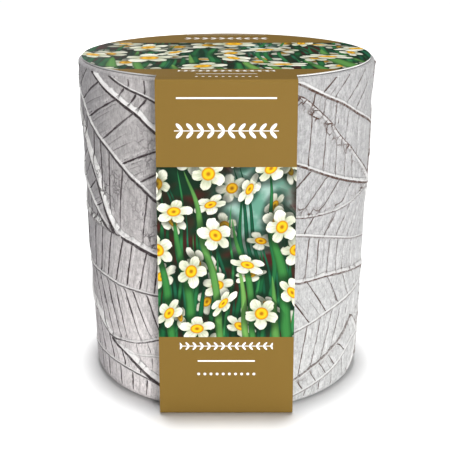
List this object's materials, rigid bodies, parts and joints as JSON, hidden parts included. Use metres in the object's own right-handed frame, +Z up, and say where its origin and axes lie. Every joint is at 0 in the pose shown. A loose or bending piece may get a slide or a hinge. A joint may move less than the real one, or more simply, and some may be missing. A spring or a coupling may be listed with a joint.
{
  "type": "leaf-relief bulb planter in a card sleeve",
  "caption": "Round tapered cast planter with overlapping leaves in relief, filled with compost and dormant bulbs, closed by a folded card sleeve with a round lid and straps.",
  "frame": {"origin": "centre of the sleeve's underside, on the table", "axes": "+Z up the pot, the front strap faces -Y, the back strap +Y"},
  "size_m": [0.1418, 0.1443, 0.1568],
  "materials": {
    "pot_cast": "white cast ceramic with a limewash, brown wash left in the grooves, matt",
    "compost_fibre": "loose fibrous bulb compost, matt",
    "bulb_tunic": "dry papery brown skin, slightly glossy",
    "printed_card": "folding card, printed flat gold with a floral picture, satin"
  },
  "bodies": {
    "root": {"planter": "pot_cast", "compost": "compost_fibre", "bulb_1": "bulb_tunic", "bulb_2": "bulb_tunic", "bulb_3": "bulb_tunic", "bulb_4": "bulb_tunic", "bulb_5": "bulb_tunic", "card_sleeve": "printed_card"}
  },
  "joints": []
}
